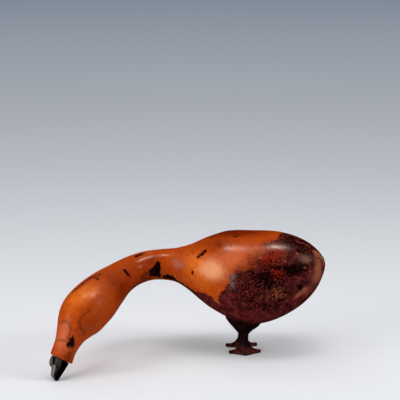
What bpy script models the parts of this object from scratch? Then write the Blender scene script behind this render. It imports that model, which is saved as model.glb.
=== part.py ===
"""A feeding goose made from a bent-neck gourd.

One dried gourd is the whole bird: its swollen end is the body, its bent stalk end is the
neck and the head. A carved black beak is the stopper of the gourd's mouth, and a small
carved wooden stand with two legs and two webbed feet carries the body. The beak's tip
touches the ground in front of the feet.

The bird faces -X and turns its head to -Y. The origin is on the ground, under the middle
of the whole object's box. Lengths below are in millimetres, from the stand's centre.
"""
import math

import bpy
import bmesh
from mathutils import Matrix, Vector

MM = 0.001
COLLECTION_NAME = "gourd_goose"

# Where the stand's centre lies from the origin, and the gap between touching pieces
STAND_PLACE = Vector((54.45, 28.7, 0.0))
GAP = 0.3

# The gourd's centre line and radius, from its mouth behind the beak to its fullest girth
GOURD_LINE = [
    (-181.0, -95.0, 19.3, 11.8),
    (-178.0, -91.5, 27.5, 11.8),
    (-175.0, -88.0, 34.0, 12.8),
    (-172.0, -83.0, 41.0, 15.3),
    (-168.0, -77.5, 48.0, 19.4),
    (-163.0, -71.0, 54.5, 23.0),
    (-157.0, -63.0, 61.0, 24.2),
    (-149.5, -50.0, 66.5, 23.8),
    (-140.0, -33.0, 73.0, 21.2),
    (-129.0, -15.0, 79.0, 17.7),
    (-116.5, 2.0, 83.5, 16.1),
    (-101.0, 12.0, 87.0, 15.7),
    (-86.0, 15.5, 88.0, 16.1),
    (-70.0, 14.5, 88.0, 17.9),
    (-55.5, 11.5, 87.0, 23.9),
    (-41.5, 8.5, 86.5, 32.5),
    (-27.0, 5.0, 84.8, 40.3),
    (-12.0, 3.0, 81.3, 45.4),
    (6.0, 1.0, 78.0, 48.7),
]
MOUTH_AXIS = Vector((-0.42, -0.31, -0.85)).normalized()
MOUTH_REACH = 14.0
LIP_ROUND = 1.6
LIP_RINGS = 3
RINGS_PER_SPAN = 2
GOURD_SIDES = 48

# The round tail end, from the fullest girth to its tip
TAIL_TIP = Vector((83.0, -8.0, 93.0))
TAIL_BLUNTNESS = 0.6
TAIL_RINGS = 11

# The dry scar of the flower, a low button high on the tail
SCAR_PLACE = Vector((79.6, -14.6, 100.6))
SCAR_AXIS = Vector((0.80, -0.36, 0.48)).normalized()
SCAR_RADIUS = 2.5
SCAR_HEIGHT = 1.0

# The beak stopper, from the gourd's mouth to the tip on the ground
BEAK_TIP = Vector((-185.4, -104.6, 0.0))
BEAK_TOP_SIDE = Vector((-0.90, -0.28, 0.34)).normalized()
BEAK_SIDES = 40
# Share of the length, then the depth above and below the beak's line and half its width
BEAK_SECTIONS = [
    (0.00, 8.9, 8.7, 9.0),
    (0.10, 8.7, 8.2, 8.8),
    (0.22, 8.3, 7.5, 8.2),
    (0.36, 7.7, 6.6, 7.3),
    (0.52, 7.0, 5.4, 6.2),
    (0.68, 6.5, 4.1, 5.1),
    (0.80, 5.3, 3.2, 4.2),
    (0.90, 3.2, 2.5, 3.3),
    (0.96, 1.8, 2.0, 2.5),
    (1.00, 0.8, 1.2, 1.5),
]
BEAK_SETTLE = 0.4
# The line between the beak's two halves runs along its sides and rises to the tip
BEAK_LINE_STEPS = 8
BEAK_LINE_ANGLE = math.radians(88.0)
BEAK_LINE_RISE = math.radians(32.0)
BEAK_LINE_START = 0.25
BEAK_LINE_END = 0.80
BEAK_LINE_DEPTH = 0.5
KNOB_SHARE = 0.22
KNOB_RISE = 7.2
KNOB_SIZE = Vector((3.3, 4.0, 4.8))
NOSTRIL_SHARE = 0.40
NOSTRIL_ANGLE = math.radians(62.0)
NOSTRIL_RADIUS = 0.9
NOSTRIL_DEPTH = 1.6
TENON_RADIUS = 6.5
TENON_LENGTH = 9.0
GROUND_CUT = 10.0

# The stand: a saddle on two legs with webbed feet, one to each side of the bird
STAND_CENTRE = Vector((-0.4, 2.0, 0.0))
STAND_TURN = math.radians(6.5)
LEG_OFFSET = 8.8
# Height, half the length along the bird and half the width across it
SADDLE_SECTIONS = [
    (16.5, 2.6, 8.4),
    (18.2, 4.8, 11.2),
    (20.4, 7.2, 13.2),
    (23.2, 10.8, 15.4),
    (26.0, 14.8, 17.6),
    (28.0, 17.5, 19.2),
    (30.6, 18.5, 20.0),
    (46.0, 18.6, 20.2),
]
SADDLE_SIDES = 40
SADDLE_TILT = 0.15
SADDLE_TILT_START = 17.0
SADDLE_TILT_FULL = 30.0
# Height and radius of a leg above its foot
LEG_SECTIONS = [(11.0, 4.4), (14.0, 4.15), (18.0, 4.2), (21.0, 4.9), (24.0, 6.0), (26.5, 6.6)]
# One half of a foot's outline: aside, and outward from the leg's middle
FOOT_OUTLINE = [
    (0.0, 14.2),
    (1.5, 13.5),
    (4.5, 11.3),
    (8.0, 8.9),
    (11.5, 6.9),
    (14.8, 5.4),
    (16.4, 4.6),
    (16.9, 3.4),
    (16.1, 2.3),
    (14.4, 1.9),
    (11.0, 1.2),
    (8.0, 0.3),
    (6.0, -0.9),
    (4.6, -2.4),
    (2.6, -3.8),
    (0.0, -4.4),
]
FOOT_EDGE = 1.7
TOE_EDGE = 2.8
FOOT_ROUND = 0.5
FOOT_ROUND_SHARE = 0.965
FOOT_STEPS = [0.78, 0.58, 0.40, 0.24, 0.10]
FOOT_FALL = 2.6
TOE_FALL = 1.9
TOE_ANGLES = [math.radians(angle) for angle in (0.0, 76.0, -76.0)]
TOE_SPREAD = math.radians(15.0)


def ease(value):
    """Rise smoothly from 0 to 1 as value goes from 0 to 1."""
    value = min(max(value, 0.0), 1.0)
    return value * value * (3.0 - 2.0 * value)


def clear_scene():
    for old_object in list(bpy.data.objects):
        bpy.data.objects.remove(old_object, do_unlink=True)


def make_collection(name):
    collection = bpy.data.collections.new(name)
    bpy.context.scene.collection.children.link(collection)
    return collection


def make_material(name, colour, roughness):
    material = bpy.data.materials.new(name)
    material.use_nodes = True
    shader = material.node_tree.nodes["Principled BSDF"]
    shader.inputs["Base Color"].default_value = (*colour, 1.0)
    shader.inputs["Roughness"].default_value = roughness
    shader.inputs["Metallic"].default_value = 0.0
    material.diffuse_color = (*colour, 1.0)
    return material


def link_mesh(name, work, collection):
    """Turn a bmesh in millimetres round the stand into an object in the object's frame."""
    bmesh.ops.translate(work, verts=work.verts, vec=STAND_PLACE)
    bmesh.ops.scale(work, verts=work.verts, vec=Vector((MM, MM, MM)))
    bmesh.ops.recalc_face_normals(work, faces=work.faces)
    mesh = bpy.data.meshes.new(name)
    work.to_mesh(mesh)
    work.free()
    piece = bpy.data.objects.new(name, mesh)
    collection.objects.link(piece)
    return piece


def loft(work, rings, end_point=None):
    """Skin a row of rings of points, flat at the start, flat or pointed at the end."""
    rows = [[work.verts.new(point) for point in ring] for ring in rings]
    sides = len(rows[0])
    for here, there in zip(rows, rows[1:]):
        for index in range(sides):
            after = (index + 1) % sides
            work.faces.new((here[index], here[after], there[after], there[index]))
    work.faces.new(rows[0])
    if end_point is None:
        work.faces.new(rows[-1])
        return
    tip = work.verts.new(end_point)
    for index in range(sides):
        work.faces.new((rows[-1][index], rows[-1][(index + 1) % sides], tip))


def through_points(rows, steps):
    """Read a smooth curve through rows of numbers, a few steps for each span."""
    first = [2 * a - b for a, b in zip(rows[0], rows[1])]
    last = [2 * a - b for a, b in zip(rows[-1], rows[-2])]
    padded = [first, *rows, last]
    curve = []
    for index in range(1, len(rows)):
        for step in range(steps):
            t = step / steps
            curve.append([
                b + 0.5 * t * (c - a + t * (2 * a - 5 * b + 4 * c - d + t * (3 * (b - c) + d - a)))
                for a, b, c, d in zip(*padded[index - 1:index + 3])
            ])
    curve.append(list(rows[-1]))
    return curve


def gourd_rows():
    """Centres and radii of the gourd's rings, from the mouth to the last one by the tip."""
    rows = [(Vector(row[:3]), row[3]) for row in through_points(GOURD_LINE, RINGS_PER_SPAN)]
    girth, radius = rows[-1]
    for index in range(1, TAIL_RINGS):
        t = math.sin(0.5 * math.pi * index / TAIL_RINGS)
        centre = girth.lerp(TAIL_TIP, t)
        centre.z = girth.z + (TAIL_TIP.z - girth.z) * ease(t)
        rows.append((centre, radius * (1.0 - t * t) ** TAIL_BLUNTNESS))
    return rows


def point_along(line, lengths, reach):
    """The point of a broken line at a distance along it, kept between its ends."""
    reach = min(max(reach, 0.0), lengths[-1])
    for index in range(1, len(line)):
        if reach <= lengths[index]:
            share = (reach - lengths[index - 1]) / (lengths[index] - lengths[index - 1])
            return line[index - 1].lerp(line[index], share)
    return line[-1].copy()


def gourd_directions(rows):
    """The way each ring faces: along the centre line, taken over the ring's own width."""
    line = [centre for centre, radius in rows] + [TAIL_TIP]
    lengths = [0.0]
    for here, there in zip(line, line[1:]):
        lengths.append(lengths[-1] + (there - here).length)
    directions = []
    for (centre, radius), reach in zip(rows, lengths):
        ahead = point_along(line, lengths, reach + radius)
        behind = point_along(line, lengths, reach - radius)
        direction = (ahead - behind).normalized()
        near_mouth = 1.0 - ease(reach / MOUTH_REACH)
        directions.append(direction.lerp(-MOUTH_AXIS, near_mouth).normalized())
    return directions


def add_gourd(work, grow=0.0):
    """Loft the gourd's skin, pushed out by grow, with a rounded lip round a flat mouth."""
    rows = gourd_rows()
    directions = gourd_directions(rows)
    mouth, mouth_radius = rows[0]
    lip = []
    for index in range(LIP_RINGS):
        angle = 0.5 * math.pi * index / LIP_RINGS
        inward = LIP_ROUND * math.sin(angle)
        lip.append((mouth - MOUTH_AXIS * inward, mouth_radius - LIP_ROUND * math.cos(angle)))
    rows = lip + rows[1:]
    directions = [-MOUTH_AXIS] * LIP_RINGS + directions[1:]
    side = directions[0].cross(Vector((0.0, 0.0, 1.0))).normalized()
    rings = []
    for (centre, radius), direction in zip(rows, directions):
        side = (side - direction * side.dot(direction)).normalized()
        other = direction.cross(side)
        ring = []
        for index in range(GOURD_SIDES):
            angle = 2.0 * math.pi * index / GOURD_SIDES
            outward = side * math.cos(angle) + other * math.sin(angle)
            ring.append(centre + outward * (radius + grow))
        rings.append(ring)
    loft(work, rings, TAIL_TIP + directions[-1] * grow)


def turn_to(axis, top):
    """The rotation that takes +Z to axis and +X as near as can be to top."""
    front = (top - axis * top.dot(axis)).normalized()
    side = axis.cross(front)
    return Matrix((front, side, axis)).transposed().to_4x4()


def add_ball(work, place, rotation, size, rings=10):
    matrix = Matrix.Translation(place) @ rotation @ Matrix.Diagonal((*size, 1.0))
    bmesh.ops.create_uvsphere(work, u_segments=2 * rings, v_segments=rings, radius=1.0, matrix=matrix)


def add_rod(work, start, axis, radius, length, sides=32):
    rotation = turn_to(axis, BEAK_TOP_SIDE)
    matrix = Matrix.Translation(start + axis * (0.5 * length)) @ rotation
    bmesh.ops.create_cone(
        work, cap_ends=True, segments=sides, radius1=radius, radius2=radius, depth=length, matrix=matrix
    )


def beak_base():
    return Vector(GOURD_LINE[0][:3]) + MOUTH_AXIS * GAP


def beak_directions(share):
    """Line, top side and side of the beak at a share of its length."""
    line = (BEAK_TIP - beak_base()).normalized()
    line = MOUTH_AXIS.lerp(line, ease(share / BEAK_SETTLE)).normalized()
    top = (BEAK_TOP_SIDE - line * BEAK_TOP_SIDE.dot(line)).normalized()
    return line, top, top.cross(line)


def beak_section(share):
    """Depth above and below the line and half width at a share of the length."""
    for before, after in zip(BEAK_SECTIONS, BEAK_SECTIONS[1:]):
        if share <= after[0]:
            t = (share - before[0]) / (after[0] - before[0])
            return [a + (b - a) * t for a, b in zip(before[1:], after[1:])]
    return BEAK_SECTIONS[-1][1:]


def beak_point(share, angle, sink=0.0):
    """A point of the beak's skin; angle 0 is its top side and a half turn its chin."""
    line, top, side = beak_directions(share)
    above, below, half_width = beak_section(share)
    depth = above if math.cos(angle) > 0.0 else below
    centre = beak_base().lerp(BEAK_TIP, share)
    reach = top * (depth * math.cos(angle)) + side * (half_width * math.sin(angle))
    return centre + reach - reach.normalized() * sink


def beak_angle(share, step):
    """The angle of a beak ring's point, a number of steps round from the top side."""
    half_turn = BEAK_SIDES // 2
    along = (share - BEAK_LINE_START) / (BEAK_LINE_END - BEAK_LINE_START)
    line_angle = BEAK_LINE_ANGLE - BEAK_LINE_RISE * ease(along)
    if step <= BEAK_LINE_STEPS:
        return line_angle * step / BEAK_LINE_STEPS
    below = (step - BEAK_LINE_STEPS) / (half_turn - BEAK_LINE_STEPS)
    return line_angle + (math.pi - line_angle) * below


def add_beak(work):
    """Loft the beak, with the line between its two halves sunk in as a groove."""
    rings = []
    for share, *sizes in BEAK_SECTIONS:
        ring = []
        for index in range(BEAK_SIDES):
            step = min(index, BEAK_SIDES - index)
            side = 1.0 if step == index else -1.0
            on_line = step == BEAK_LINE_STEPS and 0.0 < share < 1.0
            sink = BEAK_LINE_DEPTH if on_line else 0.0
            ring.append(beak_point(share, side * beak_angle(share, step), sink))
        rings.append(ring)
    loft(work, rings)


def add_ground(work):
    """A block whose top face is the ground under the beak's tip."""
    matrix = Matrix.Translation(BEAK_TIP - Vector((0.0, 0.0, 0.5 * GROUND_CUT)))
    bmesh.ops.create_cube(work, size=GROUND_CUT, matrix=matrix)


def stand_point(aside, across, height):
    """A point given along the bird, across it and up, in the turned stand."""
    return STAND_CENTRE + Matrix.Rotation(STAND_TURN, 3, "Z") @ Vector((aside, across, height))


def add_saddle(work):
    rings = []
    for height, half_length, half_width in SADDLE_SECTIONS:
        tilt = SADDLE_TILT * ease((height - SADDLE_TILT_START) / (SADDLE_TILT_FULL - SADDLE_TILT_START))
        ring = []
        for index in range(SADDLE_SIDES):
            angle = 2.0 * math.pi * index / SADDLE_SIDES
            aside = half_length * math.cos(angle)
            ring.append(stand_point(aside, half_width * math.sin(angle), height - tilt * aside))
        rings.append(ring)
    loft(work, rings)


def foot_outline():
    """The whole outline of a foot, from the middle toe round over the heel."""
    mirrored = [(-aside, outward) for aside, outward in reversed(FOOT_OUTLINE[1:-1])]
    return FOOT_OUTLINE + mirrored


def toe_share(angle):
    """1 along a toe and 0 on the web between two toes."""
    nearest = min(abs(angle - toe) for toe in TOE_ANGLES)
    return 1.0 - ease(nearest / TOE_SPREAD)


def add_leg(work, facing):
    """Loft one foot and its leg; facing is -1 for the near side and 1 for the far side."""
    outline = foot_outline()
    angles = [math.atan2(aside, outward) for aside, outward in outline]
    ankle_height, ankle_radius = LEG_SECTIONS[0]

    def ring(share, height_at):
        points = []
        for (aside, outward), angle in zip(outline, angles):
            x = aside * share + math.sin(angle) * ankle_radius * (1.0 - share)
            y = outward * share + math.cos(angle) * ankle_radius * (1.0 - share)
            points.append(stand_point(x * -facing, facing * (LEG_OFFSET + y), height_at(angle, share)))
        return points

    def edge(angle):
        return FOOT_EDGE + (TOE_EDGE - FOOT_EDGE) * toe_share(angle)

    def top(angle, share):
        fall = FOOT_FALL + (TOE_FALL - FOOT_FALL) * toe_share(angle)
        return edge(angle) + (ankle_height - edge(angle)) * (1.0 - share) ** fall

    rings = [
        ring(FOOT_ROUND_SHARE, lambda angle, share: 0.0),
        ring(1.0, lambda angle, share: FOOT_ROUND),
        ring(1.0, lambda angle, share: edge(angle) - FOOT_ROUND),
        ring(FOOT_ROUND_SHARE, lambda angle, share: edge(angle)),
    ]
    rings += [ring(share, top) for share in FOOT_STEPS]
    for height, radius in LEG_SECTIONS:
        rings.append([
            stand_point(
                -facing * radius * math.sin(angle),
                facing * (LEG_OFFSET + radius * math.cos(angle)),
                height,
            )
            for angle in angles
        ])
    loft(work, rings)


def new_piece(name, collection, add, *values):
    work = bmesh.new()
    add(work, *values)
    return link_mesh(name, work, collection)


def add_boolean(piece, other, operation):
    modifier = piece.modifiers.new(operation.lower(), "BOOLEAN")
    modifier.operation = operation
    modifier.solver = "EXACT"
    modifier.object = other
    other.hide_render = True
    other.display_type = "WIRE"


def finish_piece(piece, material, crease=math.radians(40.0)):
    piece.data.materials.append(material)
    piece.data.shade_smooth()
    piece.data.set_sharp_from_angle(angle=crease)


def build_gourd(parts, cutters):
    gourd = new_piece("gourd", parts, add_gourd)
    scar_turn = turn_to(SCAR_AXIS, Vector((0.0, 0.0, 1.0)))
    scar_size = Vector((SCAR_RADIUS, SCAR_RADIUS, SCAR_HEIGHT))
    scar = new_piece("flower_scar", cutters, add_ball, SCAR_PLACE, scar_turn, scar_size)
    socket_start = Vector(GOURD_LINE[0][:3]) + MOUTH_AXIS
    socket_length = TENON_LENGTH + GAP + 1.0
    socket = new_piece(
        "mouth_socket", cutters, add_rod, socket_start, -MOUTH_AXIS, TENON_RADIUS + GAP, socket_length
    )
    add_boolean(gourd, scar, "UNION")
    add_boolean(gourd, socket, "DIFFERENCE")
    finish_piece(gourd, make_material("gourd_skin", (0.36, 0.11, 0.03), 0.32))


def build_beak(parts, cutters):
    beak = new_piece("beak_stopper", parts, add_beak)
    line, top, side = beak_directions(KNOB_SHARE)
    knob_place = beak_base().lerp(BEAK_TIP, KNOB_SHARE) + top * KNOB_RISE
    knob = new_piece("beak_knob", cutters, add_ball, knob_place, turn_to(line, top), KNOB_SIZE)
    tenon_length = TENON_LENGTH + 1.0
    tenon = new_piece(
        "beak_tenon", cutters, add_rod, beak_base() + MOUTH_AXIS, -MOUTH_AXIS, TENON_RADIUS, tenon_length
    )
    add_boolean(beak, knob, "UNION")
    add_boolean(beak, tenon, "UNION")
    for name, angle in (("nostril_near", NOSTRIL_ANGLE), ("nostril_far", -NOSTRIL_ANGLE)):
        place = beak_point(NOSTRIL_SHARE, angle)
        inward = (beak_base().lerp(BEAK_TIP, NOSTRIL_SHARE) - place).normalized()
        nostril = new_piece(
            name, cutters, add_rod, place - inward, inward, NOSTRIL_RADIUS, NOSTRIL_DEPTH + 1.0, 12
        )
        add_boolean(beak, nostril, "DIFFERENCE")
    add_boolean(beak, new_piece("ground", cutters, add_ground), "DIFFERENCE")
    finish_piece(beak, make_material("black_horn", (0.012, 0.011, 0.011), 0.35))


def build_stand(parts, cutters):
    stand = new_piece("stand", parts, add_saddle)
    for name, facing in (("leg_near", -1.0), ("leg_far", 1.0)):
        add_boolean(stand, new_piece(name, cutters, add_leg, facing), "UNION")
    add_boolean(stand, new_piece("gourd_seat", cutters, add_gourd, GAP), "DIFFERENCE")
    finish_piece(stand, make_material("dark_rosewood", (0.035, 0.010, 0.008), 0.42))


def main():
    clear_scene()
    parts = make_collection(COLLECTION_NAME)
    cutters = make_collection("cutters")
    build_gourd(parts, cutters)
    build_beak(parts, cutters)
    build_stand(parts, cutters)


main()
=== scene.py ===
"""The looks of a feeding goose made from a bent-neck gourd.

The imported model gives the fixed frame. Three finely modelled pieces stand for its three
solids: the patinated gourd with its stains and mottling, the carved black beak, and the
carved rosewood stand. A small dried flower scar sits on the tail.

Shapes are worked out in millimetres from the stand's centre, as in the CAD source, and
are moved into the object's frame, in metres, when a mesh is made. A place on the gourd's
skin is given as (along, around): millimetres along the skin from the mouth behind the
beak, and degrees round it, with 0 on the bird's back and 90 on the viewer's side.
"""
import math

import bmesh
import bpy
import numpy as np
from mathutils import Euler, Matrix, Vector, noise


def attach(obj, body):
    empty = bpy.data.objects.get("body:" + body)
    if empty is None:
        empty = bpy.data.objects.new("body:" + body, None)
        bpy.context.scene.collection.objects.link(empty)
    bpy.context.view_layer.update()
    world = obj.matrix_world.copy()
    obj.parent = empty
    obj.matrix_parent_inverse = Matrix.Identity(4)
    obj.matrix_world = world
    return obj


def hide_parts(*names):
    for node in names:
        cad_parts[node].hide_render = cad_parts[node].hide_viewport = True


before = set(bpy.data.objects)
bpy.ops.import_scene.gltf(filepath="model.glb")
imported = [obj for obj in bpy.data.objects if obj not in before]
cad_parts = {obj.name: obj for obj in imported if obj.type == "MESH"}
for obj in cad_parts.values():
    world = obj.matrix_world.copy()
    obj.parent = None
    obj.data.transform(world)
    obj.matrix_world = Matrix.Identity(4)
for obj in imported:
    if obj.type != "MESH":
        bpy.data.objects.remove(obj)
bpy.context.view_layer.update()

MM = 0.001
STAND_PLACE = Vector((54.45, 28.7, 0.0))
# Between the gourd's mouth and the beak's flat base
GAP = 0.3
# Stands for a distance that is not to count
FAR_AWAY = 1000.0
# The floor's radius, and what is left of its near colour after each metre, in a painted
# pool of light that dims away from the object
FLOOR_RADIUS = 12.0
LIGHT_POOL_FADE = 0.76

# The camera of the photograph
CAMERA_PLACE = Vector((0.00921, -1.51210, 0.45863))
CAMERA_PITCH = math.radians(79.0)
CAMERA_LENS = 138.46
SENSOR_WIDTH = 36.0

# The gourd's centre line and radius, from its mouth to its fullest girth
GOURD_LINE = [
    (-181.0, -95.0, 19.3, 11.8),
    (-178.0, -91.5, 27.5, 11.8),
    (-175.0, -88.0, 34.0, 12.8),
    (-172.0, -83.0, 41.0, 15.3),
    (-168.0, -77.5, 48.0, 19.4),
    (-163.0, -71.0, 54.5, 23.0),
    (-157.0, -63.0, 61.0, 24.2),
    (-149.5, -50.0, 66.5, 23.8),
    (-140.0, -33.0, 73.0, 21.2),
    (-129.0, -15.0, 79.0, 17.7),
    (-116.5, 2.0, 83.5, 16.1),
    (-101.0, 12.0, 87.0, 15.7),
    (-86.0, 15.5, 88.0, 16.1),
    (-70.0, 14.5, 88.0, 17.9),
    (-55.5, 11.5, 87.0, 23.9),
    (-41.5, 8.5, 86.5, 32.5),
    (-27.0, 5.0, 84.8, 40.3),
    (-12.0, 3.0, 81.3, 45.4),
    (6.0, 1.0, 78.0, 48.7),
]
# The way the mouth faces, and how far from it the rings still turn towards that way
MOUTH_AXIS = Vector((-0.42, -0.31, -0.85)).normalized()
MOUTH_REACH = 14.0
TAIL_TIP = Vector((83.0, -8.0, 93.0))
TAIL_BLUNTNESS = 0.6
TAIL_TIP_RADIUS = 0.1
LIP_ROUND = 1.6
LIP_RINGS = 8
SOCKET_RADIUS = 6.8
SOCKET_DEPTH = 9.3
# Bevels at the socket's bottom and at its opening
BOTTOM_BEVEL = 0.3
OPENING_BEVEL = 0.5
SPAN_STEPS = 24
TAIL_STEPS = 240
GOURD_RINGS = 395
GOURD_SIDES = 236
# Size of the skin's soft lumps and their depth, all below the CAD surface, and how far from
# the mouth they reach that depth
LUMPS = [(46.0, 0.32), (17.0, 0.12), (7.0, 0.04)]
LUMPS_FULL = 20.0

# The dry scar of the flower
SCAR_PLACE = Vector((79.6, -14.6, 100.6))
SCAR_AXIS = Vector((0.80, -0.36, 0.48)).normalized()
SCAR_SIDES = 48
SCAR_STEPS = 3
# Depth of the scar's ragged waves as a share of its radius, and how close they stand
SCAR_RAGGED = 0.3
SCAR_WAVES = 2.2
# Radius and height of the scar's rings
SCAR_SECTIONS = [
    (3.6, -1.6),
    (3.5, -0.4),
    (3.0, 0.5),
    (2.3, 0.95),
    (1.6, 0.8),
    (1.1, 0.2),
    (0.7, 0.3),
    (0.3, 0.6),
]

# The beak stopper, from the gourd's mouth to the tip on the ground
BEAK_TIP = Vector((-185.4, -104.6, 0.0))
BEAK_TOP_SIDE = Vector((-0.90, -0.28, 0.34)).normalized()
BEAK_RINGS = 150
BEAK_SIDES = 160
# Share of the length, then the depth above and below the beak's line and half its width
BEAK_SECTIONS = [
    (0.00, 8.9, 8.7, 9.0),
    (0.10, 8.7, 8.2, 8.8),
    (0.22, 8.3, 7.5, 8.2),
    (0.36, 7.7, 6.6, 7.3),
    (0.52, 7.0, 5.4, 6.2),
    (0.68, 6.7, 4.1, 5.1),
    (0.80, 6.2, 3.2, 4.2),
    (0.90, 3.9, 2.3, 3.1),
    (0.96, 2.0, 1.6, 2.1),
    (1.00, 0.5, 0.8, 0.9),
]
BEAK_STEPS = 12
# Share of the length over which the rings turn from the mouth's axis to the beak's line
BEAK_SETTLE = 0.4
# Length of the bevel at the beak's flat base, and its depth as a share of the radius
BEAK_EDGE = 0.4
BEAK_EDGE_SHARE = 0.045
# Shares of the length over which the carved line and the painted sheen and shade set in
# and die away
CARVING_START = 0.1
CARVING_END = 0.08
BEAK_LINE_ANGLE = math.radians(88.0)
BEAK_LINE_RISE = math.radians(32.0)
BEAK_LINE_START = 0.25
BEAK_LINE_END = 0.80
BEAK_LINE_DEPTH = 0.5
BEAK_LINE_WIDTH = 0.45
KNOB_SHARE = 0.15
KNOB_RISE = 7.0
KNOB_SIZE = (6.8, 3.7, 4.6)
KNOB_BLEND = 0.35
# Share of the length where the knob's painted sheen and shade give way to the top's
# painted sheen, and over what share
KNOB_END = 0.28
KNOB_FADE = 0.1
NOSTRIL_SHARE = 0.40
NOSTRIL_ANGLE = math.radians(60.0)
NOSTRIL_RADIUS = 1.4
NOSTRIL_SLIMNESS = 0.5
NOSTRIL_DEPTH = 1.8
# Angle and width of the painted sheen along each side of the beak's top, on the knob and
# beyond it, and of the painted shade in the crease between the knob and the beak's side
KNOB_BAND = np.radians([14.0, 4.0])
TOP_BAND = np.radians([30.0, 18.0])
CREASE = np.radians([33.0, 12.0])
TENON_RADIUS = 6.5
TENON_LENGTH = 9.0
# Bevel at the peg's inner end, and the small foot where it meets the beak
TENON_BEVEL = 0.5
TENON_FOOT = 0.3

# The stand: a saddle on two legs with webbed feet, one to each side of the bird
STAND_CENTRE = Vector((-0.4, 2.0, 0.0))
STAND_TURN = math.radians(6.5)
STAND_VOXEL = 0.36
LEG_OFFSET = 8.8
# Height, half the length along the bird and half the width across it
SADDLE_SECTIONS = [
    (16.5, 2.6, 8.4),
    (18.2, 4.8, 11.2),
    (20.4, 7.2, 13.2),
    (23.2, 9.8, 14.8),
    (26.0, 13.0, 16.8),
    (28.5, 15.6, 18.4),
    (31.0, 17.6, 19.6),
    (33.5, 18.6, 20.2),
    (46.0, 18.6, 20.2),
]
SADDLE_STEPS = 5
SADDLE_SIDES = 120
# The saddle's slope along the bird, and the heights where it begins and is full
SADDLE_TILT = 0.15
SADDLE_TILT_START = 17.0
SADDLE_TILT_FULL = 30.0
# Height and radius of a leg above its foot
LEG_SECTIONS = [(11.0, 4.4), (14.0, 4.15), (18.0, 4.2), (21.0, 4.9), (24.0, 6.0), (26.5, 6.6)]
LEG_STEPS = 4
# One half of a foot's outline: aside, and outward from the leg's middle
FOOT_OUTLINE = [
    (0.0, 14.2), (1.5, 13.5), (4.5, 11.3), (8.0, 8.9), (11.5, 6.9), (14.8, 5.4),
    (16.4, 4.6), (16.9, 3.4), (16.1, 2.3), (14.4, 1.9), (11.0, 1.2), (8.0, 0.3),
    (6.0, -0.9), (4.6, -2.4), (2.6, -3.8), (0.0, -4.4),
]
OUTLINE_STEPS = 6
# Height of the foot's outer edge at the web and at the toes, and how that edge is rounded
FOOT_EDGE = 2.6
TOE_EDGE = 3.5
FOOT_ROUND = 1.2
FOOT_ROUND_SHARE = 0.94
FOOT_RINGS = 28
# How steeply the web and the toes fall away from the ankle
FOOT_FALL = 6.0
TOE_FALL = 3.3
TOE_ANGLES = np.radians([0.0, 76.0, -76.0])
TOE_SPREAD = math.radians(15.0)
# Height of the knuckles along each toe, and how many there are
KNUCKLE_RISE = 0.45
KNUCKLES = 4
# Between the gourd and its seat
SEAT_CLEARANCE = 0.25

# How far from a mark, and from the maroon skin's edge, distances are measured
MARK_LIMIT = 8.0
COAST_LIMIT = 30.0
# Where the dark maroon skin of the tail and belly begins; the side away from the camera
# of the photograph is made up in the same manner
COAST = [
    (317, 3), (316, 21), (308, 29), (303, 31), (296, 33), (298, 45), (288, 51), (281, 54),
    (281, 60), (276, 64), (267, 69), (263, 75), (261, 79), (261.5, 88), (257, 94),
    (256, 100), (251, 110), (250, 121), (246, 121), (241.5, 119), (236, 118), (222, 132),
    (208, 135), (200, 130), (194, 146), (188, 170), (193, 190), (207, 204), (219, 211),
    (224, 226), (238, 231), (243, 246), (257, 252), (262, 268), (277, 276), (281, 290),
    (297, 299), (300, 314), (312, 322), (318, 336), (322, 346),
]

# Closed outlines of the near-black patches
DARK_PATCHES = [
    [(171, 64), (174, 70), (174, 82), (174, 98), (173.5, 118), (174, 138), (166, 128),
     (157, 123), (155.5, 105), (156, 95), (163, 84), (168, 72)],
    [(176, 124), (184, 115), (191, 121), (196, 134), (205, 137), (205, 143), (190, 146),
     (178, 142)],
    [(19.5, 48), (12.5, 44), (11.5, 62), (13, 88), (17.5, 76), (22.5, 62)],
    [(96, 262), (104, 254), (110, 262), (107, 276), (99, 274)],
    [(150, 236), (158, 226), (166, 232), (170, 248), (160, 256), (152, 248)],
    [(214, 292), (222, 286), (227, 294), (224, 304), (216, 302)],
]
# Half the width, then the line, of the smaller near-black marks
DARK_STROKES = [
    (2.0, [(118, 50), (117.5, 62), (119, 74)]),
    (1.6, [(148, 17), (153, 14), (158, 16)]),
    (1.1, [(84, 352), (84, 4), (84, 12)]),
    (1.1, [(84, 10), (92, 11)]),
    (1.1, [(83, 12), (82, 23)]),
    (0.9, [(60, 346), (66, 354), (73, 356)]),
    (0.9, [(76, 354), (82, 0)]),
    (2.2, [(222.5, 57), (228, 47)]),
    (1.2, [(217, 88), (218, 90)]),
    (0.9, [(260, 21), (266, 17)]),
    (1.0, [(258, 38), (259, 40)]),
    (0.7, [(231, 6), (240, 2)]),
    (1.8, [(335, 42), (336, 45)]),
    (2.4, [(330, 108), (332, 113)]),
    (0.9, [(56, 282), (62, 288), (66, 286)]),
    (0.7, [(128, 300), (136, 306), (143, 304)]),
    (1.0, [(196, 262), (203, 268)]),
    (1.6, [(243, 300), (247, 304)]),
    (2.2, [(322, 244), (326, 250)]),
]
# Soft brown stains and faint lines in the orange skin
STAINS = [
    (0.9, [(49, 57), (45, 54), (41.6, 52), (38, 50), (35, 55), (32, 68), (30, 97)]),
    (0.8, [(30, 346), (31.7, 6), (31, 26), (28, 35), (25, 42), (19, 40)]),
    (0.5, [(13.8, 348), (15, 10), (15.7, 34)]),
    (2.4, [(157, 103), (146, 105), (142, 112), (150, 128), (158, 130)]),
    (0.7, [(64, 356), (72, 357), (82, 0), (90, 4)]),
    (1.0, [(70, 250), (78, 262), (90, 266)]),
    (1.4, [(184, 300), (192, 310), (206, 312)]),
    (1.2, [(226, 250), (236, 262), (240, 276)]),
]
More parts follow.
